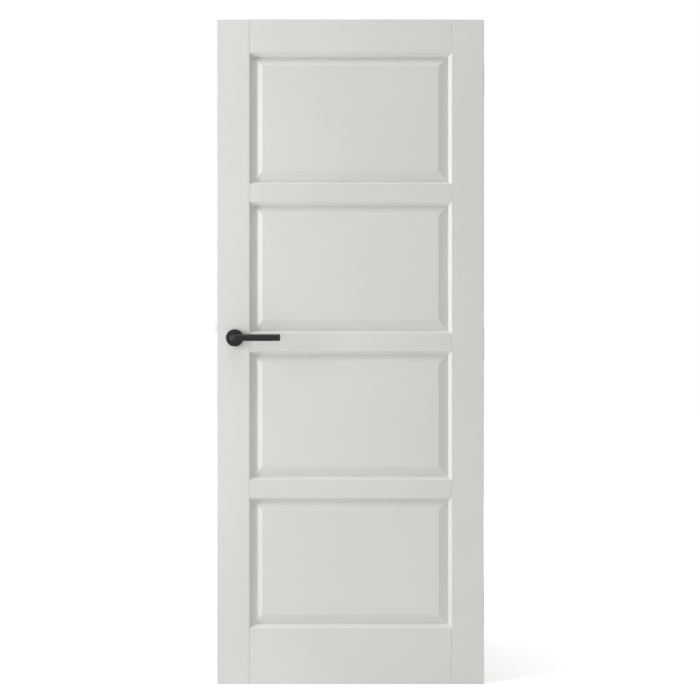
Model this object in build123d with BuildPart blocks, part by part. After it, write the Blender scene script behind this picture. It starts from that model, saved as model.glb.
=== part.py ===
from build123d import *

import os
from math import cos, radians, sin

# Panelled door leaf with a lever handle, in millimetres: x runs across the leaf from the lock
# edge to the hinge edge, y through it from the front face to the back, z up from its bottom edge.

# Leaf: overall size, boards and openings
leaf_width = 820.0
leaf_height = 2040.0
leaf_thickness = 40.0
stile_face = 99.0
top_rail_face = 101.0
middle_rail_face = 55.0
bottom_rail_face = 171.0
end_arris = 1.2

# Shares of the height left between the rails, from the bottom opening to the top one
opening_shares = (0.2495, 0.2465, 0.252, 0.252)

# Sticking: the bevelled moulding round every opening, cut alike on both faces
sticking_width = 9.0
sticking_land = 1.0
arris_radius = 1.4
seam_width = 2.0
seam_depth = 1.4

# Panels, and the groove that holds them
tongue_thickness = 12.0
groove_depth = 12.0
panel_thickness = 30.0
panel_bevel = 31.0
panel_gap = 1.5
tenon_gap = 0.5

# Dowels: two at each end of each rail
dowel_radius = 5.0
dowel_length = 60.0
dowel_in_stile = 15.0
dowel_margin = 12.0
dowel_clearance = 0.05
dowel_end_gap = 1.0

# Butt hinges: leaf flaps sunk into the hinge edge, frame flaps standing free beside them
hinge_height = 100.0
hinge_reach = 30.0
hinge_plate = 2.5
hinge_gap = 1.5
hinge_corner = 3.0
top_hinge_drop = 175.0
bottom_hinge_rise = 225.0
knuckle_radius = 6.0
knuckle_count = 5
knuckle_gap = 0.4
knuckle_clearance = 1.0
notch_clearance = 0.6
pin_radius = 3.5
pin_clearance = 0.05
pin_head_radius = 5.0
pin_head_height = 3.0
pin_head_round = 1.2
recess_clearance = 0.1

# Hinge screws, in two rows that zigzag: the rows swap over from the leaf flap to the frame flap
outer_screw_rise = 37.0
inner_screw_rise = 13.0
near_row_reach = 15.5
far_row_reach = 24.0
screw_head_radius = 4.2
screw_shank_radius = 2.0
screw_length = 30.0
screw_point = 5.0
screw_clearance = 0.1
screw_hole_clearance = 0.25
countersink_angle = 90

# Mortice latch in the lock edge
spindle_height = 1062.0
backset = 55.0
forend_width = 20.0
forend_length = 150.0
forend_thickness = 3.0
forend_screw_inset = 10.0
case_depth = 67.0
case_thickness = 14.0
case_wall = 1.5
case_below_spindle = 28.0
case_above_spindle = 50.0
pocket_clearance = 0.5
bolt_rise = 30.0
bolt_height = 18.0
bolt_thickness = 10.4
bolt_body = 22.0
bolt_throw = 9.0
bolt_nose = 2.0
bolt_lip = 0.5
bolt_clearance = 0.3
tail_height = 6.0
tail_thickness = 4.0
tail_leg = 4.0
guide_thickness = 3.0
guide_height = 8.0
guide_set_back = 15.0
guide_cover_gap = 0.5

# Follower: turns with the spindle and pushes the latch tail with its arm
lever_swing = 35.0
follower_radius = 9.5
follower_clearance = 0.05
arm_radius = 15.0
arm_half_width = 2.0
arm_thickness = 5.0
arm_gap = 0.45

# Spindle, roses and levers, alike on both faces
spindle_side = 8.0
spindle_clearance = 0.1
spindle_hole_radius = 7.0
rose_radius = 26.25
rose_depth = 10.0
rose_wall = 1.4
rose_round = 2.0
base_radius = 25.0
base_thickness = 5.0
snap_clearance = 0.1
bush_radius = 11.0
bush_flange_radius = 13.5
bush_flange = 1.2
bush_clearance = 0.05
spigot_radius = 8.0
spigot_lift = 1.0
shoulder_gap = 0.3
neck_gap = 0.3
lever_radius = 10.0
lever_reach = 47.0
lever_length = 143.0
lever_elbow = 14.0
lever_tip_round = 1.2
ring_from_tip = 17.0
ring_width = 3.0
ring_depth = 0.8
socket_depth = 32.0
spindle_end_gap = 0.5
grub_reach = 18.0
grub_radius = 2.4
grub_recess = 0.8
grub_clearance = 0.1
rose_bolt_radius = 2.0
rose_bolt_spacing = 38.0
rose_bolt_clearance = 0.3
rose_bolt_head_radius = 3.5
rose_bolt_head = 2.5

# One overrun for every cut that runs out of its piece
overrun = 5.0

# Places worked out from the sizes above
half_width = leaf_width / 2
half_thickness = leaf_thickness / 2
face_edge = half_width - stile_face
mouth_edge = face_edge - sticking_width
groove_edge = mouth_edge + groove_depth
tenon_edge = groove_edge - tenon_gap
tongue_half = tongue_thickness / 2
land_y = tongue_half + sticking_land
cope_share = sticking_width / (half_thickness - land_y)

middle_rail_names = ("lower_rail", "lock_rail", "upper_rail")
panel_names = ("bottom_panel", "lower_panel", "upper_panel", "top_panel")
middle_rail_height = len(middle_rail_names) * middle_rail_face
opening_height = leaf_height - top_rail_face - bottom_rail_face - middle_rail_height
rails = {"bottom_rail": (0, bottom_rail_face)}
rail_low = bottom_rail_face
for name, opening_share in zip(middle_rail_names, opening_shares):
    rail_low += opening_share * opening_height
    rails[name] = (rail_low, rail_low + middle_rail_face)
    rail_low += middle_rail_face
rails["top_rail"] = (leaf_height - top_rail_face, leaf_height)

hinge_x = half_width + hinge_gap / 2
hinge_y = half_thickness + knuckle_radius + knuckle_clearance
top_hinge_z = leaf_height - top_hinge_drop
hinges = {
    "bottom": bottom_hinge_rise,
    "middle": (bottom_hinge_rise + top_hinge_z) / 2,
    "top": top_hinge_z,
}
flap_far_y = hinge_y - hinge_reach
flap_near_y = hinge_y - knuckle_radius - notch_clearance

handle_x = backset - half_width
case_front = forend_thickness - half_width
case_back = case_front + case_depth
case_low = spindle_height - case_below_spindle
case_high = spindle_height + case_above_spindle
case_middle_z = (case_low + case_high) / 2
case_height = case_high - case_low
case_half = case_thickness / 2
bolt_z = spindle_height + bolt_rise
faces = {"front": -1, "back": 1}

os.makedirs("parts", exist_ok=True)


def write(piece, name):
    """Label a finished piece and write it to its own file."""
    piece.part.label = name
    export_step(piece.part, f"parts/{name}.step")


def moulded_edge(face, outward):
    """Outline of a moulded and grooved board edge, back face to front, as (through, across) points."""
    mouth = face + outward * sticking_width
    groove = mouth - outward * groove_depth
    return [
        (half_thickness, face),
        (land_y, mouth),
        (tongue_half, mouth),
        (tongue_half, groove),
        (-tongue_half, groove),
        (-tongue_half, mouth),
        (-land_y, mouth),
        (-half_thickness, face),
    ]


def plain_edge(edge):
    """Outline of a square board edge, back face to front, as (through, across) points."""
    return [(half_thickness, edge), (-half_thickness, edge)]


def dowel_heights(low, high):
    """Heights of the two dowels in a rail, set in from its grooves or its outer edge."""
    groove_inset = groove_depth - sticking_width
    lowest = low + groove_inset if low > 0 else low
    highest = high - groove_inset if high < leaf_height else high
    return (lowest + dowel_margin, highest - dowel_margin)


def dowel_planes(side, spans):
    """One plane per dowel at the bottom of its hole in a stile, facing into the leaf."""
    x = side * (groove_edge + dowel_in_stile)
    heights = [z for low, high in spans for z in dowel_heights(low, high)]
    return [Plane(origin=(x, 0, z), x_dir=(0, 1, 0), z_dir=(-side, 0, 0)) for z in heights]


def flap_screw_planes(outward, face_x, hinge_z, outer_reach, inner_reach):
    """One plane per screw of a hinge flap, on the face that its heads are flush with."""
    places = [
        (hinge_y - reach, hinge_z + sign * rise)
        for reach, rise in ((outer_reach, outer_screw_rise), (inner_reach, inner_screw_rise))
        for sign in (-1, 1)
    ]
    return [Plane(origin=(face_x, y, z), x_dir=(0, 1, 0), z_dir=(outward, 0, 0)) for y, z in places]


def leaf_flap_screws(hinge_z):
    """Screw planes of one leaf flap, whose outer pair sits in the row near the knuckles."""
    return flap_screw_planes(1, half_width, hinge_z, near_row_reach, far_row_reach)


def forend_plane():
    """Plane on the lock edge at the middle of the latch, facing out, with its x axis up."""
    return Plane(origin=(-half_width, 0, case_middle_z), x_dir=(0, 0, 1), z_dir=(-1, 0, 0))


def forend_screws_at():
    """Places of the two forend screws along the forend plane's x axis."""
    offset = forend_length / 2 - forend_screw_inset
    return [(-offset, 0), (offset, 0)]


def handle_plane(face):
    """Plane on a door face at the spindle, facing out, with its x axis across the leaf."""
    origin = (handle_x, face * half_thickness, spindle_height)
    return Plane(origin=origin, x_dir=(1, 0, 0), z_dir=(0, face, 0))


def rose_bolts_at():
    """Places of the two rose bolts beside the spindle."""
    return [(-rose_bolt_spacing / 2, 0), (rose_bolt_spacing / 2, 0)]


def csk_screw(length):
    """Countersunk wood screw at the current places, its head flush with their planes."""
    at_top = (Align.CENTER, Align.CENTER, Align.MAX)
    head_height = screw_head_radius - screw_shank_radius
    shank_length = length - screw_point
    Cone(screw_shank_radius, screw_head_radius, head_height, align=at_top)
    Cylinder(screw_shank_radius, shank_length, align=at_top)
    with Locations((0, 0, -shank_length)):
        Cone(0, screw_shank_radius, screw_point, align=at_top)


# Stiles: one moulded section each, full height, then the cuts for dowels, hinges and latch
for name, side in {"lock_stile": -1, "hinge_stile": 1}.items():
    with BuildPart() as stile:
        with BuildSketch() as stile_section:
            outline = moulded_edge(side * face_edge, -side) + plain_edge(side * half_width)[::-1]
            Polygon(*[(x, y) for y, x in outline], align=None)
            face_corners = stile_section.vertices().group_by(Axis.Y)
            fillet(face_corners[0] + face_corners[-1], radius=arris_radius)
        extrude(amount=leaf_height)
        end_edges = stile.edges().filter_by(Axis.X).group_by(Axis.Y)
        fillet(end_edges[0] + end_edges[-1], radius=end_arris)
        with Locations(*dowel_planes(side, rails.values())):
            Cylinder(
                dowel_radius + dowel_clearance,
                dowel_in_stile + groove_depth,
                align=(Align.CENTER, Align.CENTER, Align.MIN),
                mode=Mode.SUBTRACT,
            )
        if side > 0:
            for hinge_z in hinges.values():
                recess_y = flap_far_y - recess_clearance
                with Locations((half_width - hinge_plate, recess_y, hinge_z)):
                    Box(
                        hinge_plate + overrun,
                        half_thickness - recess_y + overrun,
                        hinge_height + 2 * recess_clearance,
                        align=(Align.MIN, Align.MIN, Align.CENTER),
                        mode=Mode.SUBTRACT,
                    )
                with Locations(*leaf_flap_screws(hinge_z)):
                    Hole(screw_shank_radius + screw_clearance, screw_length + screw_clearance)
        else:
            with BuildSketch(forend_plane()):
                SlotOverall(
                    forend_length + 2 * recess_clearance,
                    forend_width + 2 * recess_clearance,
                )
            extrude(amount=-forend_thickness, mode=Mode.SUBTRACT)
            with BuildSketch(forend_plane()):
                Rectangle(case_height + 2 * pocket_clearance, case_thickness + 2 * pocket_clearance)
            extrude(amount=-forend_thickness - case_depth - pocket_clearance, mode=Mode.SUBTRACT)
            with Locations(forend_plane()):
                with Locations(*forend_screws_at()):
                    Hole(screw_shank_radius + screw_clearance, screw_length + screw_clearance)
            with Locations(handle_plane(-1)):
                Hole(spindle_hole_radius, leaf_thickness)
                with Locations(*rose_bolts_at()):
                    Hole(rose_bolt_radius + rose_bolt_clearance, leaf_thickness)
    write(stile, name)

# Rails: moulded section along the leaf, with ends coped over the stile sticking and tenoned
for name, (low, high) in rails.items():
    with BuildPart() as rail:
        with BuildSketch(Plane.YZ.offset(-tenon_edge)) as rail_section:
            low_edge = moulded_edge(low, -1) if low > 0 else plain_edge(low)
            high_edge = moulded_edge(high, 1) if high < leaf_height else plain_edge(high)
            Polygon(*low_edge, *high_edge[::-1], align=None)
            corner_rows = rail_section.vertices().group_by(Axis.X)
            face_corners = corner_rows[0] + corner_rows[-1]
            outer_corners = [c for c in face_corners if c.Y in (0, leaf_height)]
            moulded_corners = [c for c in face_corners if c not in outer_corners]
            fillet(moulded_corners, radius=arris_radius)
            if outer_corners:
                fillet(outer_corners, radius=end_arris)
        extrude(amount=2 * tenon_edge)
        coped_half = [
            (face_edge - seam_width, half_thickness),
            (face_edge - cope_share * seam_depth, half_thickness - seam_depth),
            (mouth_edge, land_y),
            (mouth_edge, tongue_half),
            (tenon_edge, tongue_half),
        ]
        right_end = coped_half + [(x, -y) for x, y in coped_half[::-1]]
        left_end = [(-x, y) for x, y in right_end[::-1]]
        with BuildSketch(Plane.XY.offset(low - sticking_width)):
            Polygon(*right_end, *left_end, align=None)
        extrude(amount=high - low + 2 * sticking_width, mode=Mode.INTERSECT)
        for side in (-1, 1):
            with Locations(*dowel_planes(side, [(low, high)])):
                Cylinder(
                    dowel_radius + dowel_clearance,
                    dowel_length + dowel_end_gap,
                    align=(Align.CENTER, Align.CENTER, Align.MIN),
                    mode=Mode.SUBTRACT,
                )
    write(rail, name)

# Panels: a raised board bevelled on both faces, with a thin tongue all round for the grooves
spans = list(rails.values())
for name, below, above in zip(panel_names, spans[:-1], spans[1:]):
    low = below[1]
    high = above[0]
    groove_inset = groove_depth - sticking_width
    tongue_low = low - groove_inset
    tongue_high = high + groove_inset - panel_gap
    with BuildPart() as panel:
        with BuildSketch(Plane.XZ):
            with Locations((0, (low + high) / 2)):
                Rectangle(2 * mouth_edge, high - low - 2 * sticking_width)
        extrude(amount=panel_thickness / 2, both=True)
        for field in panel.faces().filter_by(Axis.Y):
            chamfer(
                field.edges(),
                length=panel_bevel,
                length2=panel_thickness / 2 - tongue_half,
                reference=field,
            )
        with BuildSketch(Plane.XZ):
            with Locations((0, (tongue_low + tongue_high) / 2)):
                Rectangle(2 * (groove_edge - panel_gap), tongue_high - tongue_low)
        extrude(amount=tongue_half, both=True)
    write(panel, name)

# Dowels: each stands in its stile hole and runs on into the rail
with BuildPart() as dowels:
    for side in (-1, 1):
        with Locations(*dowel_planes(side, rails.values())):
            Cylinder(dowel_radius, dowel_length, align=(Align.CENTER, Align.CENTER, Align.MIN))
write(dowels, "rail_dowels")

# Hinges: two flaps with alternate knuckles on one pin
knuckle_pitch = hinge_height / knuckle_count
flap_sides = {"leaf": -1, "frame": 1}
for place, hinge_z in hinges.items():
    hinge_low = hinge_z - hinge_height / 2
    for flap_name, flap_side in flap_sides.items():
        flap_face = hinge_x + flap_side * hinge_gap / 2
        flap_back = flap_face + flap_side * hinge_plate
        flap_middle = (flap_face + flap_back) / 2
        with BuildPart() as flap:
            with BuildSketch(Plane.YZ.offset(min(flap_face, flap_back))) as plate:
                with Locations(((flap_far_y + flap_near_y) / 2, hinge_z)):
                    Rectangle(flap_near_y - flap_far_y, hinge_height)
                far_corners = plate.vertices().group_by(Axis.X)[0]
                fillet(far_corners, radius=hinge_corner)
            extrude(amount=hinge_plate)
            first = 0 if flap_side > 0 else 1
            for number in range(first, knuckle_count, 2):
                knuckle_low = hinge_low + number * knuckle_pitch + knuckle_gap / 2
                with BuildSketch(Plane.XY.offset(knuckle_low)):
                    with Locations((hinge_x, hinge_y)):
                        Circle(knuckle_radius)
                    with Locations((flap_middle, (flap_near_y + hinge_y) / 2)):
                        Rectangle(hinge_plate, hinge_y - flap_near_y)
                extrude(amount=knuckle_pitch - knuckle_gap)
            with BuildSketch(Plane.XY.offset(hinge_low)):
                with Locations((hinge_x, hinge_y)):
                    Circle(pin_radius + pin_clearance)
            extrude(amount=hinge_height, mode=Mode.SUBTRACT)
            if flap_side < 0:
                screw_planes = leaf_flap_screws(hinge_z)
            else:
                screw_planes = flap_screw_planes(-1, flap_face, hinge_z, far_row_reach, near_row_reach)
            with Locations(*screw_planes):
                CounterSinkHole(
                    screw_shank_radius + screw_hole_clearance,
                    screw_head_radius + screw_clearance,
                    depth=hinge_plate + overrun,
                    counter_sink_angle=countersink_angle,
                )
        write(flap, f"{flap_name}_flap_{place}")
    knuckle_top = hinge_low + hinge_height - knuckle_gap / 2
    with BuildPart() as pin:
        with BuildSketch(Plane.XY.offset(hinge_low)):
            with Locations((hinge_x, hinge_y)):
                Circle(pin_radius)
        extrude(amount=knuckle_top - hinge_low)
        with BuildSketch(Plane.XY.offset(knuckle_top)):
            with Locations((hinge_x, hinge_y)):
                Circle(pin_head_radius)
        extrude(amount=pin_head_height)
        fillet(pin.faces().sort_by(Axis.Z)[-1].edges(), radius=pin_head_round)
    write(pin, f"hinge_pin_{place}")

with BuildPart() as hinge_screws:
    for hinge_z in hinges.values():
        with Locations(*leaf_flap_screws(hinge_z)):
            csk_screw(screw_length)
write(hinge_screws, "hinge_screws")

# Latch: forend flush in the lock edge, with a tray and a cover plate that make the case behind it
bolt_hole_rise = bolt_z - case_middle_z
bolt_hole_height = bolt_height + 2 * bolt_clearance
bolt_hole_width = bolt_thickness + 2 * bolt_clearance
with BuildPart() as forend:
    with BuildSketch(forend_plane()):
        SlotOverall(forend_length, forend_width)
        with Locations((bolt_hole_rise, 0)):
            Rectangle(bolt_hole_height, bolt_hole_width, mode=Mode.SUBTRACT)
    extrude(amount=-forend_thickness)
    with Locations(forend_plane()):
        with Locations(*forend_screws_at()):
            CounterSinkHole(
                screw_shank_radius + screw_hole_clearance,
                screw_head_radius + screw_clearance,
                depth=forend_thickness + overrun,
                counter_sink_angle=countersink_angle,
            )
write(forend, "latch_forend")

with BuildPart() as forend_screws:
    with Locations(forend_plane()):
        with Locations(*forend_screws_at()):
            csk_screw(screw_length)
write(forend_screws, "forend_screws")

case_middle_x = (case_front + case_back) / 2
tray_half = case_half - case_wall
bolt_rest_back = case_front + bolt_body
guide_x = bolt_rest_back + guide_set_back
with BuildPart() as tray:
    with BuildSketch(Plane.XZ.offset(-case_half)):
        with Locations((case_middle_x, case_middle_z)):
            Rectangle(case_depth, case_height)
    extrude(amount=case_thickness - case_wall)
    with BuildSketch(Plane.XZ.offset(-tray_half)):
        with Locations((case_middle_x, case_middle_z)):
            Rectangle(case_depth - 2 * case_wall, case_height - 2 * case_wall)
    extrude(amount=2 * tray_half, mode=Mode.SUBTRACT)
    with BuildSketch(Plane.XZ.offset(-tray_half)):
        guide_offset = tail_height / 2 + bolt_clearance + guide_height / 2
        with Locations((guide_x, bolt_z - guide_offset), (guide_x, bolt_z + guide_offset)):
            Rectangle(guide_thickness, guide_height)
    extrude(amount=2 * tray_half - guide_cover_gap)
    with BuildSketch(forend_plane()):
        with Locations((bolt_hole_rise, 0)):
            Rectangle(bolt_hole_height, bolt_hole_width)
    extrude(amount=-forend_thickness - case_wall, mode=Mode.SUBTRACT)
    with Locations(handle_plane(1)):
        Hole(follower_radius + follower_clearance, half_thickness)
        with Locations(*rose_bolts_at()):
            Hole(rose_bolt_radius + rose_bolt_clearance, half_thickness)
write(tray, "latch_case")

with BuildPart() as cover:
    with BuildSketch(Plane.XZ.offset(case_half)):
        with Locations((case_middle_x, case_middle_z)):
            Rectangle(case_depth, case_height)
    extrude(amount=-case_wall)
    with Locations(handle_plane(-1)):
        Hole(follower_radius + follower_clearance, half_thickness)
        with Locations(*rose_bolts_at()):
            Hole(rose_bolt_radius + rose_bolt_clearance, half_thickness)
write(cover, "latch_cover")

# Latch bolt: bevelled head, then a tail whose leg hangs just beyond the follower's arm
half_swing = radians(lever_swing / 2)
arm_tip = (handle_x - arm_radius * sin(half_swing), spindle_height + arm_radius * cos(half_swing))
bolt_half = bolt_thickness / 2
bolt_tip = -half_width - bolt_throw
leg_face = arm_tip[0] + arm_half_width + arm_gap
leg_back = leg_face + tail_leg
with BuildPart() as bolt:
    with BuildSketch(Plane.XY.offset(bolt_z - bolt_height / 2)):
        Polygon(
            (bolt_rest_back, -bolt_half),
            (-half_width - bolt_lip, -bolt_half),
            (bolt_tip, bolt_half - bolt_nose),
            (bolt_tip, bolt_half),
            (bolt_rest_back, bolt_half),
            align=None,
        )
    extrude(amount=bolt_height)
    with BuildSketch(Plane.XZ):
        with Locations(((bolt_rest_back + leg_back) / 2, bolt_z)):
            Rectangle(leg_back - bolt_rest_back, tail_height)
        with Locations(((leg_face + leg_back) / 2, (arm_tip[1] + bolt_z) / 2)):
            Rectangle(tail_leg, bolt_z - arm_tip[1])
    extrude(amount=tail_thickness / 2, both=True)
write(bolt, "latch_bolt")

# Follower: a hub that runs in the case plates, with one arm that leans towards the lock edge
with BuildPart() as follower:
    with BuildSketch(Plane.XZ):
        with Locations((handle_x, spindle_height)):
            Circle(follower_radius)
    extrude(amount=case_half, both=True)
    with BuildSketch(Plane.XZ):
        with Locations((handle_x, spindle_height), arm_tip):
            Circle(arm_half_width)
        make_hull()
    extrude(amount=arm_thickness / 2, both=True)
    with BuildSketch(Plane.XZ):
        with Locations((handle_x, spindle_height)):
            Rectangle(spindle_side + 2 * spindle_clearance, spindle_side + 2 * spindle_clearance)
    extrude(amount=case_thickness, both=True, mode=Mode.SUBTRACT)
write(follower, "follower")

with BuildPart() as spindle:
    with BuildSketch(Plane.XZ):
        with Locations((handle_x, spindle_height)):
            Rectangle(spindle_side, spindle_side)
    extrude(amount=half_thickness + socket_depth - spindle_end_gap, both=True)
write(spindle, "spindle")

# Roses: a screwed base with a plain bearing bush, under a snap-on cover
for face_name, face in faces.items():
    plane = handle_plane(face)
    outward = Axis(plane.origin, plane.z_dir)
    with BuildPart() as base:
        with BuildSketch(plane):
            Circle(base_radius)
            Circle(bush_radius + bush_clearance, mode=Mode.SUBTRACT)
            with Locations(*rose_bolts_at()):
                Circle(rose_bolt_radius + rose_bolt_clearance, mode=Mode.SUBTRACT)
        extrude(amount=base_thickness)
    write(base, f"rose_base_{face_name}")

    with BuildPart() as bush:
        with BuildSketch(plane):
            Circle(bush_radius)
        extrude(amount=base_thickness)
        with BuildSketch(plane.offset(base_thickness)):
            Circle(bush_flange_radius)
        extrude(amount=bush_flange)
        with BuildSketch(plane):
            Circle(spigot_radius + bush_clearance)
        extrude(amount=base_thickness + bush_flange, mode=Mode.SUBTRACT)
    write(bush, f"lever_bush_{face_name}")

    with BuildPart() as rose:
        with BuildSketch(plane):
            Circle(rose_radius)
        extrude(amount=rose_depth)
        fillet(rose.faces().sort_by(outward)[-1].edges(), radius=rose_round)
        with BuildSketch(plane):
            Circle(base_radius + snap_clearance)
        extrude(amount=rose_depth - rose_wall, mode=Mode.SUBTRACT)
        with BuildSketch(plane):
            Circle(lever_radius + neck_gap)
        extrude(amount=rose_depth, mode=Mode.SUBTRACT)
    write(rose, f"rose_cover_{face_name}")

    # Lever: a round bar bent once, stepped down to run in the bush, with a ring cut near its tip
    shoulder = base_thickness + bush_flange + shoulder_gap
    neck_start = plane.from_local_coords((0, 0, shoulder))
    elbow_corner = plane.from_local_coords((0, 0, lever_reach))
    lever_tip = plane.from_local_coords((lever_length, 0, lever_reach))
    with BuildPart() as lever:
        with BuildLine() as bar_line:
            FilletPolyline(neck_start, elbow_corner, lever_tip, radius=lever_elbow)
        with BuildSketch(plane.offset(shoulder)):
            Circle(lever_radius)
        sweep(path=bar_line.wires()[0])
        fillet(lever.faces().sort_by(Axis.X)[-1].edges(), radius=lever_tip_round)
        with BuildSketch(Plane.YZ.offset(handle_x + lever_length - ring_from_tip)):
            with Locations((lever_tip.Y, spindle_height)):
                Circle(lever_radius + overrun)
                Circle(lever_radius - ring_depth, mode=Mode.SUBTRACT)
        extrude(amount=ring_width, mode=Mode.SUBTRACT)
        with BuildSketch(plane.offset(spigot_lift)):
            Circle(spigot_radius)
        extrude(amount=shoulder - spigot_lift)
        with BuildSketch(plane):
            Rectangle(spindle_side + 2 * spindle_clearance, spindle_side + 2 * spindle_clearance)
        extrude(amount=socket_depth, mode=Mode.SUBTRACT)
        grub_origin = plane.from_local_coords((0, 0, grub_reach)) - Vector(0, 0, lever_radius)
        with Locations(Plane(origin=grub_origin, z_dir=(0, 0, -1))):
            Hole(grub_radius + grub_clearance, lever_radius)
    write(lever, f"lever_{face_name}")

# Small screws of the handle: grub screws up against the spindle, and bolts from rose to rose
with BuildPart() as grubs:
    grub_low = spindle_height - lever_radius + grub_recess
    grub_length = spindle_height - spindle_side / 2 - grub_low
    for face in faces.values():
        with BuildSketch(Plane.XY.offset(grub_low)):
            with Locations((handle_x, face * (half_thickness + grub_reach))):
                Circle(grub_radius)
        extrude(amount=grub_length)
write(grubs, "grub_screws")

with BuildPart() as rose_bolts:
    bolt_seat = half_thickness + base_thickness
    with BuildSketch(Plane.XZ):
        with Locations((handle_x, spindle_height)):
            with Locations(*rose_bolts_at()):
                Circle(rose_bolt_radius)
    extrude(amount=bolt_seat, both=True)
    for face in faces.values():
        with BuildSketch(handle_plane(face).offset(base_thickness)):
            with Locations(*rose_bolts_at()):
                Circle(rose_bolt_head_radius)
        extrude(amount=rose_bolt_head)
write(rose_bolts, "rose_bolts")
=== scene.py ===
from math import copysign, cos, pi, radians, sin

import bmesh
import bpy
from mathutils import Matrix, Vector


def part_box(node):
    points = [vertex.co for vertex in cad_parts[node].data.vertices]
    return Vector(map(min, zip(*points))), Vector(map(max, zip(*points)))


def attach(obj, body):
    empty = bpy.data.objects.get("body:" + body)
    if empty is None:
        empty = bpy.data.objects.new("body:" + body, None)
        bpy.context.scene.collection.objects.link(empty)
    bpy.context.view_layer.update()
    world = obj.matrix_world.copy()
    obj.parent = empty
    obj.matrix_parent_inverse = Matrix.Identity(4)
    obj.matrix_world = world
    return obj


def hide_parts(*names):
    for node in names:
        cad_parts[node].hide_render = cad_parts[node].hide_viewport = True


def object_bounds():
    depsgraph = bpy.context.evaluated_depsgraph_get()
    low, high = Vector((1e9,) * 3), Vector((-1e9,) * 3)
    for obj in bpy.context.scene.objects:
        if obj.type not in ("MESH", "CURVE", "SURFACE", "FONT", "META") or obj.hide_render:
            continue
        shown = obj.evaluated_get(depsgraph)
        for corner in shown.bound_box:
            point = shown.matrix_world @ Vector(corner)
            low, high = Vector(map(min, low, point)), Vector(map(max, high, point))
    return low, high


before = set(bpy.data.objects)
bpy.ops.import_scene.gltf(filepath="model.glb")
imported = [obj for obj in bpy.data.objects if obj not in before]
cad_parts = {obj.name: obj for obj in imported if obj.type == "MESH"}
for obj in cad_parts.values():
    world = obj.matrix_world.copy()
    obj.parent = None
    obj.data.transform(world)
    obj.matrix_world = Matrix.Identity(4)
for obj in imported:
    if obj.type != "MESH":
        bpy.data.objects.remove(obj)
cad_low, cad_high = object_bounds()

# Panelled door leaf with a lever handle, in metres: x runs across the leaf from the lock edge to
# the hinge edge, y through it from the front face to the back, z up from its bottom edge.

# Photograph: a square picture, with the leaf's outline in pixels
picture_side = 700.0
leaf_left_pixel = 217.0
leaf_right_pixel = 484.0
leaf_top_pixel = 19.2
leaf_bottom_pixel = 684.0
camera_distance = 2.2
sensor_millimetres = 36.0

# Studio: a tall soft lamp at the left, a wide one overhead, a low one in front, one behind at
# the hinge side, a dim room and a pale floor with a painted glow that shows it white
white = (1.0, 1.0, 1.0)
side_lamp_distance = 3.0
side_lamp_turn = radians(71.5)
side_lamp_height = 1.6
side_lamp_size = (0.5, 2.4)
side_lamp_watts = 73.0
side_lamp_colour = (0.985, 0.99, 1.0)
top_lamp_place = (-0.6, -1.0, 5.0)
top_lamp_size = (4.0, 2.0)
top_lamp_watts = 92.0
top_lamp_colour = white
front_lamp_place = (0.2, -4.0, 0.4)
front_lamp_size = (3.0, 0.7)
front_lamp_watts = 31.0
front_lamp_colour = white
rear_lamp_distance = 3.0
rear_lamp_turn = radians(30.0)
rear_lamp_height = 1.5
rear_lamp_size = (1.2, 2.0)
rear_lamp_watts = 70.0
rear_lamp_colour = (1.0, 0.995, 0.985)
room_strength = 0.2
room_colour = (1.0, 0.995, 0.965)
backdrop_strength = 1.0
floor_half = 9.0
floor_gap = 0.001
floor_tone = (0.85, 0.85, 0.85)
# Painted glow on the floor for camera and mirror rays: strong far from the leaf, weak near it
floor_painted_glows = (0.9, 0.24)
floor_glow_fade_radius = 4.0
floor_cloud = 3.0
floor_gloss = (0.7, 0.9)

# Patterns: how much of a noise's spread is used, and its fineness
pattern_low_share = 0.3
pattern_high_share = 0.7
plain_detail = 2.0
rich_detail = 4.0

# Satin paint: tones, gloss, spray texture and the boards' faint grain
paint_tones = ((0.680, 0.674, 0.650), (0.710, 0.704, 0.680))
paint_gloss = (0.54, 0.64)
paint_cloud = 2.2
paint_peel = 420.0
paint_peel_depth = 0.0002
paint_grain = 240.0
paint_grain_depth = 0.00005
paint_relief_share = 0.4
grain_stretch_share = 0.025
board_shift = 1.9

# Black lever coat
black_tones = ((0.011, 0.011, 0.0103), (0.018, 0.0177, 0.0168))
black_sheen = 0.2
black_gloss = (0.46, 0.60)
black_cloud = 45.0
black_grit = 2600.0
black_grit_depth = 0.00003
black_relief_share = 0.5

# Metals: tones and gloss of each, and the brush lines they share
hinge_steel_tones = ((0.36, 0.36, 0.355), (0.46, 0.46, 0.453))
hinge_steel_gloss = (0.42, 0.54)
latch_steel_tones = ((0.42, 0.42, 0.413), (0.52, 0.52, 0.512))
latch_steel_gloss = (0.36, 0.48)
zinc_tones = ((0.42, 0.44, 0.47), (0.58, 0.60, 0.62))
zinc_gloss = (0.30, 0.48)
brush_lines = 2400.0
brush_stretch_share = 0.02
brush_depth = 0.00003
brush_relief_share = 0.35
metal_cloud = 60.0

# Beech dowels and nylon bushes
beech_tones = ((0.42, 0.25, 0.12), (0.62, 0.43, 0.25))
beech_gloss = (0.55, 0.75)
beech_grain = 900.0
beech_grain_depth = 0.0001
beech_stretch_share = 0.05
beech_relief_share = 0.5
nylon_tones = ((0.012, 0.012, 0.012), (0.022, 0.022, 0.022))
nylon_gloss = (0.40, 0.55)
nylon_grain = 800.0
nylon_grain_depth = 0.00003
nylon_relief_share = 0.3

# Countersunk screws with a cross recess, in the hinge edge and the lock edge
screw_head_radius = 0.00405
screw_shank_radius = 0.002
screw_length = 0.030
screw_point = 0.005
screw_lip = 0.00015
screw_tip_radius = 0.0003
recess_reach = 0.0023
recess_half_width = 0.00045
recess_depth = 0.0018
recess_taper_share = 0.55
recess_cells = 3
outer_screw_rise = 0.037
inner_screw_rise = 0.013
near_row_reach = 0.0155
far_row_reach = 0.024
forend_screw_inset = 0.010

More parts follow.
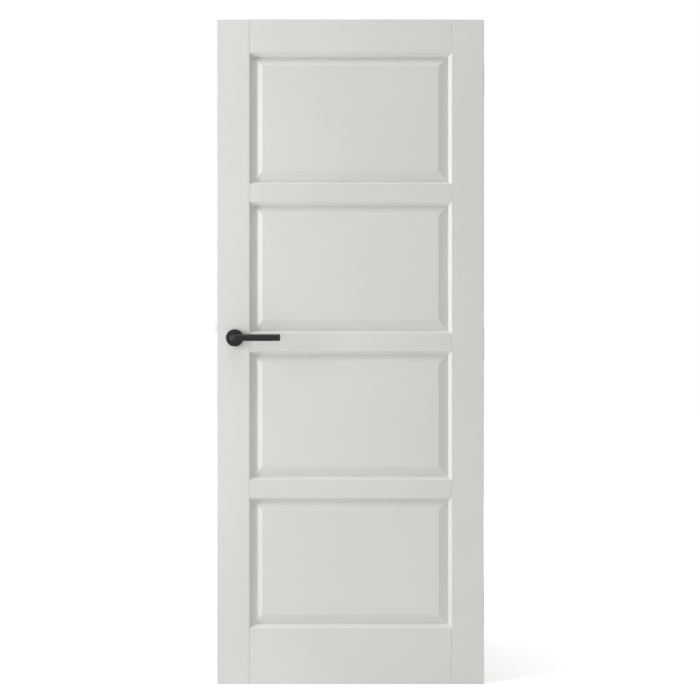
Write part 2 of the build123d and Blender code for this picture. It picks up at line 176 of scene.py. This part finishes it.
# Grub screws with a hexagon socket, under the levers
grub_chamfer = 0.0004
socket_radius = 0.00115
socket_depth = 0.0021
socket_taper_share = 1.0
socket_sides = 6

turning_segments = 32
weld_distance = 0.0000001

# Axes and directions of the frame
across_axis, through_axis, up_axis = range(3)
out_of_lock_edge = (-1.0, 0.0, 0.0)
out_of_hinge_edge = (1.0, 0.0, 0.0)
upwards = (0.0, 0.0, 1.0)
downwards = (0.0, 0.0, -1.0)

# Places read from the frame
lock_low, lock_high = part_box("lock_stile")
_, hinge_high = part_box("hinge_stile")
leaf_width = hinge_high.x - lock_low.x
leaf_height = lock_high.z - lock_low.z
front_y = lock_low.y
back_y = lock_high.y


def start_finish(name):
    """A new finish with its node tree and its shader."""
    finish = bpy.data.materials.new(name)
    finish.use_nodes = True
    tree = finish.node_tree
    return finish, tree, tree.nodes["Principled BSDF"]


def place_on_piece(tree, stretch=(1.0, 1.0, 1.0), shift=(0.0, 0.0, 0.0)):
    """Coordinates on the piece, stretched and shifted for one pattern."""
    coordinates = tree.nodes.new("ShaderNodeTexCoord")
    mapping = tree.nodes.new("ShaderNodeMapping")
    mapping.inputs["Scale"].default_value = stretch
    mapping.inputs["Location"].default_value = shift
    tree.links.new(coordinates.outputs["Object"], mapping.inputs["Vector"])
    return mapping.outputs["Vector"]


def noise_pattern(tree, place, per_metre, detail=plain_detail):
    """A soft random pattern with so many spots to the metre."""
    noise = tree.nodes.new("ShaderNodeTexNoise")
    noise.inputs["Scale"].default_value = per_metre
    noise.inputs["Detail"].default_value = detail
    tree.links.new(place, noise.inputs["Vector"])
    return noise.outputs["Fac"]


def tone_between(tree, pattern, tones):
    """Colour that follows a pattern between two tones."""
    pattern_shares = (pattern_low_share, pattern_high_share)
    ramp = tree.nodes.new("ShaderNodeValToRGB")
    for element, tone, place in zip(ramp.color_ramp.elements, tones, pattern_shares):
        element.position = place
        element.color = (*tone, 1.0)
    tree.links.new(pattern, ramp.inputs["Fac"])
    return ramp.outputs["Color"]


def value_between(tree, pattern, limits):
    """Number that follows a pattern between two limits."""
    spread = tree.nodes.new("ShaderNodeMapRange")
    spread.inputs["From Min"].default_value = pattern_low_share
    spread.inputs["From Max"].default_value = pattern_high_share
    spread.inputs["To Min"].default_value = limits[0]
    spread.inputs["To Max"].default_value = limits[1]
    tree.links.new(pattern, spread.inputs["Value"])
    return spread.outputs["Result"]


def relief(tree, pattern, depth, strength, under=None):
    """Surface relief of a given depth, laid over another relief."""
    bump = tree.nodes.new("ShaderNodeBump")
    bump.inputs["Distance"].default_value = depth
    bump.inputs["Strength"].default_value = strength
    tree.links.new(pattern, bump.inputs["Height"])
    if under is not None:
        tree.links.new(under, bump.inputs["Normal"])
    return bump.outputs["Normal"]


def satin_paint(name, grain_axis, number):
    """White satin paint, sprayed on a board whose grain runs along one axis."""
    finish, tree, shader = start_finish(name)
    shift = (number * board_shift, 0.0, number * board_shift)
    stretch = [1.0, 1.0, 1.0]
    stretch[grain_axis] = grain_stretch_share
    plain = place_on_piece(tree, shift=shift)
    along = place_on_piece(tree, stretch=stretch, shift=shift)
    cloud = noise_pattern(tree, plain, paint_cloud, rich_detail)
    peel = noise_pattern(tree, plain, paint_peel)
    grain = noise_pattern(tree, along, paint_grain, rich_detail)
    tree.links.new(tone_between(tree, cloud, paint_tones), shader.inputs["Base Color"])
    tree.links.new(value_between(tree, grain, paint_gloss), shader.inputs["Roughness"])
    boards = relief(tree, grain, paint_grain_depth, paint_relief_share)
    surface = relief(tree, peel, paint_peel_depth, paint_relief_share, under=boards)
    tree.links.new(surface, shader.inputs["Normal"])
    return finish


def black_powder_coat():
    """Matt black powder coat with a fine grit."""
    finish, tree, shader = start_finish("black_powder_coat")
    plain = place_on_piece(tree)
    cloud = noise_pattern(tree, plain, black_cloud, rich_detail)
    grit = noise_pattern(tree, plain, black_grit)
    shader.inputs["Specular IOR Level"].default_value = black_sheen
    tree.links.new(tone_between(tree, cloud, black_tones), shader.inputs["Base Color"])
    tree.links.new(value_between(tree, cloud, black_gloss), shader.inputs["Roughness"])
    tree.links.new(relief(tree, grit, black_grit_depth, black_relief_share), shader.inputs["Normal"])
    return finish


def brushed_metal(name, tones, gloss, brush_axis):
    """Brushed metal whose fine lines run along one axis."""
    finish, tree, shader = start_finish(name)
    stretch = [1.0, 1.0, 1.0]
    stretch[brush_axis] = brush_stretch_share
    lines = noise_pattern(tree, place_on_piece(tree, stretch=stretch), brush_lines, rich_detail)
    cloud = noise_pattern(tree, place_on_piece(tree), metal_cloud, rich_detail)
    shader.inputs["Metallic"].default_value = 1.0
    tree.links.new(tone_between(tree, cloud, tones), shader.inputs["Base Color"])
    tree.links.new(value_between(tree, lines, gloss), shader.inputs["Roughness"])
    tree.links.new(relief(tree, lines, brush_depth, brush_relief_share), shader.inputs["Normal"])
    return finish


def turned_beech():
    """Pale dowel wood with grain along the dowel."""
    finish, tree, shader = start_finish("turned_beech")
    along = place_on_piece(tree, stretch=(beech_stretch_share, 1.0, 1.0))
    grain = noise_pattern(tree, along, beech_grain, rich_detail)
    tree.links.new(tone_between(tree, grain, beech_tones), shader.inputs["Base Color"])
    tree.links.new(value_between(tree, grain, beech_gloss), shader.inputs["Roughness"])
    tree.links.new(relief(tree, grain, beech_grain_depth, beech_relief_share), shader.inputs["Normal"])
    return finish


def black_nylon():
    """Moulded black bearing plastic."""
    finish, tree, shader = start_finish("black_nylon")
    cloud = noise_pattern(tree, place_on_piece(tree), nylon_grain, rich_detail)
    tree.links.new(tone_between(tree, cloud, nylon_tones), shader.inputs["Base Color"])
    tree.links.new(value_between(tree, cloud, nylon_gloss), shader.inputs["Roughness"])
    tree.links.new(relief(tree, cloud, nylon_grain_depth, nylon_relief_share), shader.inputs["Normal"])
    return finish


def seen_rays(tree):
    """One for rays that show the surroundings, straight, mirrored or through glass, else zero."""
    rays = tree.nodes.new("ShaderNodeLightPath")
    seen = rays.outputs["Is Camera Ray"]
    for kind in ("Is Glossy Ray", "Is Transmission Ray"):
        either = tree.nodes.new("ShaderNodeMath")
        either.operation = "MAXIMUM"
        tree.links.new(seen, either.inputs[0])
        tree.links.new(rays.outputs[kind], either.inputs[1])
        seen = either.outputs["Value"]
    return seen


def white_floor():
    """Pale floor with a painted white glow for seen rays, faded near the leaf to show its shadow."""
    finish, tree, shader = start_finish("white_floor")
    near_leaf = tree.nodes.new("ShaderNodeTexGradient")
    near_leaf.gradient_type = "SPHERICAL"
    reach = place_on_piece(tree, stretch=[1.0 / floor_glow_fade_radius] * 3)
    tree.links.new(reach, near_leaf.inputs["Vector"])
    # Painted glow: weakest at the leaf, so the floor shows darker there with its real shadow
    painted_glow = tree.nodes.new("ShaderNodeMapRange")
    painted_glow.inputs["To Min"].default_value = floor_painted_glows[0]
    painted_glow.inputs["To Max"].default_value = floor_painted_glows[1]
    tree.links.new(near_leaf.outputs["Fac"], painted_glow.inputs["Value"])
    shown = tree.nodes.new("ShaderNodeMath")
    shown.operation = "MULTIPLY"
    tree.links.new(seen_rays(tree), shown.inputs[0])
    tree.links.new(painted_glow.outputs["Result"], shown.inputs[1])
    cloud = noise_pattern(tree, place_on_piece(tree), floor_cloud)
    shader.inputs["Base Color"].default_value = (*floor_tone, 1.0)
    shader.inputs["Specular IOR Level"].default_value = 0.0
    shader.inputs["Emission Color"].default_value = (*white, 1.0)
    tree.links.new(shown.outputs["Value"], shader.inputs["Emission Strength"])
    tree.links.new(value_between(tree, cloud, floor_gloss), shader.inputs["Roughness"])
    return finish


def dress(nodes, finish):
    """Give CAD nodes a finish."""
    for name in nodes:
        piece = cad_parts[name]
        piece.data.materials.clear()
        piece.data.materials.append(finish)


def new_piece(name, shape, finish, body, node):
    """Turn a finished bmesh into a piece that rides on a body in place of a CAD node."""
    bmesh.ops.remove_doubles(shape, verts=shape.verts, dist=weld_distance)
    bmesh.ops.recalc_face_normals(shape, faces=shape.faces)
    mesh = bpy.data.meshes.new(name)
    shape.to_mesh(mesh)
    shape.free()
    mesh.materials.append(finish)
    piece = bpy.data.objects.new(name, mesh)
    bpy.context.scene.collection.objects.link(piece)
    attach(piece, body)
    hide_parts(node)


def place_facing(origin, direction):
    """Placement at a point, with its z axis along a direction."""
    turn = Vector(direction).to_track_quat("Z", "Y")
    return Matrix.Translation(origin) @ turn.to_matrix().to_4x4()


def stamp_each(make_one, places):
    """One shape that holds a copy of a small shape at each place."""
    every_one = bmesh.new()
    for place in places:
        single = make_one()
        bmesh.ops.transform(single, matrix=place, verts=single.verts)
        mesh = bpy.data.meshes.new("single")
        single.to_mesh(mesh)
        single.free()
        every_one.from_mesh(mesh)
        bpy.data.meshes.remove(mesh)
    return every_one


def new_parts(made, kind):
    """The vertices, edges or faces among what an operator made."""
    return [item for item in made["geom"] if isinstance(item, kind)]


def draw_down(shape, rim, radius, steps):
    """Draw a round rim down through (radius, depth) steps, as on a lathe, and close the end."""
    for step_radius, depth in steps:
        drawn = bmesh.ops.extrude_edge_only(shape, edges=rim)
        ring = new_parts(drawn, bmesh.types.BMVert)
        rim = [edge for edge in new_parts(drawn, bmesh.types.BMEdge) if set(edge.verts) <= set(ring)]
        scale = step_radius / radius
        bmesh.ops.scale(shape, vec=(scale, scale, 1.0), verts=ring)
        bmesh.ops.translate(shape, vec=(0.0, 0.0, -depth - ring[0].co.z), verts=ring)
        radius = step_radius
    bmesh.ops.contextual_create(shape, geom=rim)


def sink(shape, outline_faces, depth, taper_share):
    """Sink faces into a tapered recess, and return the edges of its mouth."""
    sunk = bmesh.ops.extrude_face_region(shape, geom=outline_faces)
    bottom = new_parts(sunk, bmesh.types.BMVert)
    bmesh.ops.scale(shape, vec=(taper_share, taper_share, 1.0), verts=bottom)
    bmesh.ops.translate(shape, vec=(0.0, 0.0, -depth), verts=bottom)
    left_over = [face for face in outline_faces if face.is_valid]
    bmesh.ops.delete(shape, geom=left_over, context="FACES")
    return [edge for edge in shape.edges if edge.is_boundary]


def crosshead_screw():
    """Countersunk screw with a cross recess, its head in the plane z = 0."""
    screw = bmesh.new()
    grid = bmesh.ops.create_grid(
        screw, x_segments=recess_cells, y_segments=recess_cells, size=recess_reach
    )
    for vert in grid["verts"]:
        for axis in (0, 1):
            if abs(vert.co[axis]) < recess_reach - weld_distance:
                vert.co[axis] = copysign(recess_half_width, vert.co[axis])
    corners = [
        face for face in screw.faces
        if min(map(abs, face.calc_center_median().xy)) > recess_half_width
    ]
    bmesh.ops.delete(screw, geom=corners, context="FACES")
    mouth = sink(screw, screw.faces[:], recess_depth, recess_taper_share)
    head = bmesh.ops.create_circle(screw, segments=turning_segments, radius=screw_head_radius)["verts"]
    rim = list({edge for vert in head for edge in vert.link_edges})
    bmesh.ops.triangle_fill(screw, edges=mouth + rim, use_beauty=True, normal=upwards)
    cone_end = screw_lip + screw_head_radius - screw_shank_radius
    steps = (
        (screw_head_radius, screw_lip),
        (screw_shank_radius, cone_end),
        (screw_shank_radius, screw_length - screw_point),
        (screw_tip_radius, screw_length),
    )
    draw_down(screw, rim, screw_head_radius, steps)
    return screw


def socket_grub(radius, length):
    """Grub screw with a hexagon socket, its socket end in the plane z = 0."""
    grub = bmesh.new()
    bmesh.ops.create_circle(grub, cap_ends=True, segments=socket_sides, radius=socket_radius)
    mouth = sink(grub, grub.faces[:], socket_depth, socket_taper_share)
    end = bmesh.ops.create_circle(grub, segments=turning_segments, radius=radius - grub_chamfer)["verts"]
    rim = list({edge for vert in end for edge in vert.link_edges})
    bmesh.ops.triangle_fill(grub, edges=mouth + rim, use_beauty=True, normal=upwards)
    steps = (
        (radius, grub_chamfer),
        (radius, length - grub_chamfer),
        (radius - grub_chamfer, length),
    )
    draw_down(grub, rim, radius - grub_chamfer, steps)
    return grub


def soft_lamp(name, place, aim, size, watts, colour):
    """A rectangular soft box that looks at a point, out of the camera's sight."""
    light = bpy.data.lights.new(name, "AREA")
    light.shape = "RECTANGLE"
    light.size, light.size_y = size
    light.energy = watts
    light.color = colour
    lamp = bpy.data.objects.new(name, light)
    lamp.location = place
    lamp.rotation_euler = (Vector(aim) - lamp.location).to_track_quat("-Z", "Y").to_euler()
    lamp.visible_camera = False
    bpy.context.scene.collection.objects.link(lamp)


# Finishes on the CAD nodes
upright_boards = ("lock_stile", "hinge_stile")
cross_boards = ("top_rail", "upper_rail", "lock_rail", "lower_rail", "bottom_rail")
panels = ("top_panel", "upper_panel", "lower_panel", "bottom_panel")
for number, name in enumerate(upright_boards + cross_boards + panels):
    grain_axis = up_axis if name in upright_boards else across_axis
    dress([name], satin_paint(f"satin_paint_{name}", grain_axis, number))

hinge_steel = brushed_metal("satin_hinge_steel", hinge_steel_tones, hinge_steel_gloss, up_axis)
latch_steel = brushed_metal("satin_latch_steel", latch_steel_tones, latch_steel_gloss, up_axis)
zinc = brushed_metal("zinc_plating", zinc_tones, zinc_gloss, through_axis)
black_coat = black_powder_coat()
hinge_names = ("top", "middle", "bottom")
for kind in ("leaf_flap", "frame_flap", "hinge_pin"):
    dress([f"{kind}_{name}" for name in hinge_names], hinge_steel)
dress(["latch_forend", "latch_bolt"], latch_steel)
dress(["latch_case", "latch_cover", "follower", "spindle", "rose_bolts"], zinc)
dress(["rose_base_front", "rose_base_back"], zinc)
dress(["lever_bush_front", "lever_bush_back"], black_nylon())
dress(["rose_cover_front", "rose_cover_back", "lever_front", "lever_back"], black_coat)
dress(["rail_dowels"], turned_beech())

# Screws with their recesses, in place of the plain ones
hinge_screw_places = []
for name in hinge_names:
    pin_low, pin_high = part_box(f"hinge_pin_{name}")
    flap_low, flap_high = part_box(f"leaf_flap_{name}")
    pin_y = (pin_low.y + pin_high.y) / 2
    flap_z = (flap_low.z + flap_high.z) / 2
    for reach, rise in ((near_row_reach, outer_screw_rise), (far_row_reach, inner_screw_rise)):
        for side in (-1, 1):
            head = (hinge_high.x, pin_y - reach, flap_z + side * rise)
            hinge_screw_places.append(place_facing(head, out_of_hinge_edge))
hinge_screws = stamp_each(crosshead_screw, hinge_screw_places)
new_piece("hinge_crosshead_screws", hinge_screws, hinge_steel, "leaf", "hinge_screws")

forend_low, forend_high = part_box("latch_forend")
forend_screw_places = []
for z in (forend_low.z + forend_screw_inset, forend_high.z - forend_screw_inset):
    head = (forend_low.x, (forend_low.y + forend_high.y) / 2, z)
    forend_screw_places.append(place_facing(head, out_of_lock_edge))
forend_screws = stamp_each(crosshead_screw, forend_screw_places)
new_piece("forend_crosshead_screws", forend_screws, latch_steel, "leaf", "forend_screws")

grub_low, grub_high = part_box("grub_screws")
grub_radius = (grub_high.x - grub_low.x) / 2
grub_length = grub_high.z - grub_low.z
grub_places = [
    place_facing(((grub_low.x + grub_high.x) / 2, y, grub_low.z), downwards)
    for y in (grub_low.y + grub_radius, grub_high.y - grub_radius)
]
grubs = stamp_each(lambda: socket_grub(grub_radius, grub_length), grub_places)
new_piece("socket_grub_screws", grubs, zinc, "handle", "grub_screws")

# Stage: floor, lamps, room and camera
floor_shape = bmesh.new()
bmesh.ops.create_grid(floor_shape, x_segments=1, y_segments=1, size=floor_half)
bmesh.ops.translate(floor_shape, vec=(0.0, 0.0, cad_low.z - floor_gap), verts=floor_shape.verts)
floor_mesh = bpy.data.meshes.new("studio_floor")
floor_shape.to_mesh(floor_mesh)
floor_shape.free()
floor_mesh.materials.append(white_floor())
floor = bpy.data.objects.new("studio_floor", floor_mesh)
bpy.context.scene.collection.objects.link(floor)

side_lamp_place = (
    -side_lamp_distance * sin(side_lamp_turn),
    front_y - side_lamp_distance * cos(side_lamp_turn),
    side_lamp_height,
)
rear_lamp_place = (
    rear_lamp_distance * sin(rear_lamp_turn),
    back_y + rear_lamp_distance * cos(rear_lamp_turn),
    rear_lamp_height,
)
side_lamp_aim = (0.0, front_y, side_lamp_height)
rear_lamp_aim = (0.0, back_y, rear_lamp_height)
leaf_middle = Vector((0.0, front_y, leaf_height / 2))
soft_lamp(
    "tall_side_lamp", side_lamp_place, side_lamp_aim,
    side_lamp_size, side_lamp_watts, side_lamp_colour,
)
soft_lamp(
    "rear_lamp", rear_lamp_place, rear_lamp_aim,
    rear_lamp_size, rear_lamp_watts, rear_lamp_colour,
)
soft_lamp(
    "wide_top_lamp", top_lamp_place, leaf_middle,
    top_lamp_size, top_lamp_watts, top_lamp_colour,
)
soft_lamp(
    "low_front_lamp", front_lamp_place, leaf_middle,
    front_lamp_size, front_lamp_watts, front_lamp_colour,
)

room = bpy.data.worlds.new("white_room")
room.use_nodes = True
bpy.context.scene.world = room
room_tree = room.node_tree
room_tree.nodes.clear()
room_light = room_tree.nodes.new("ShaderNodeBackground")
room_light.inputs["Color"].default_value = (*room_colour, 1.0)
room_light.inputs["Strength"].default_value = room_strength
backdrop = room_tree.nodes.new("ShaderNodeBackground")
backdrop.inputs["Color"].default_value = (*white, 1.0)
backdrop.inputs["Strength"].default_value = backdrop_strength
room_mix = room_tree.nodes.new("ShaderNodeMixShader")
room_out = room_tree.nodes.new("ShaderNodeOutputWorld")
room_tree.links.new(seen_rays(room_tree), room_mix.inputs["Fac"])
room_tree.links.new(room_light.outputs["Background"], room_mix.inputs[1])
room_tree.links.new(backdrop.outputs["Background"], room_mix.inputs[2])
room_tree.links.new(room_mix.outputs["Shader"], room_out.inputs["Surface"])

pixels_to_metre = (leaf_right_pixel - leaf_left_pixel) / leaf_width
seen_width = picture_side / pixels_to_metre
leaf_middle_column = (leaf_left_pixel + leaf_right_pixel) / 2
leaf_middle_row = (leaf_top_pixel + leaf_bottom_pixel) / 2
camera_data = bpy.data.cameras.new("front_camera")
camera_data.sensor_width = sensor_millimetres
camera_data.lens = sensor_millimetres * camera_distance / seen_width
camera = bpy.data.objects.new("front_camera", camera_data)
camera.location = (
    (lock_low.x + hinge_high.x) / 2 + (picture_side / 2 - leaf_middle_column) / pixels_to_metre,
    front_y - camera_distance,
    (lock_low.z + lock_high.z) / 2 + (leaf_middle_row - picture_side / 2) / pixels_to_metre,
)
camera.rotation_euler = (pi / 2, 0.0, 0.0)
bpy.context.scene.collection.objects.link(camera)
bpy.context.scene.camera = camera
bpy.context.scene.view_settings.view_transform = "Standard"
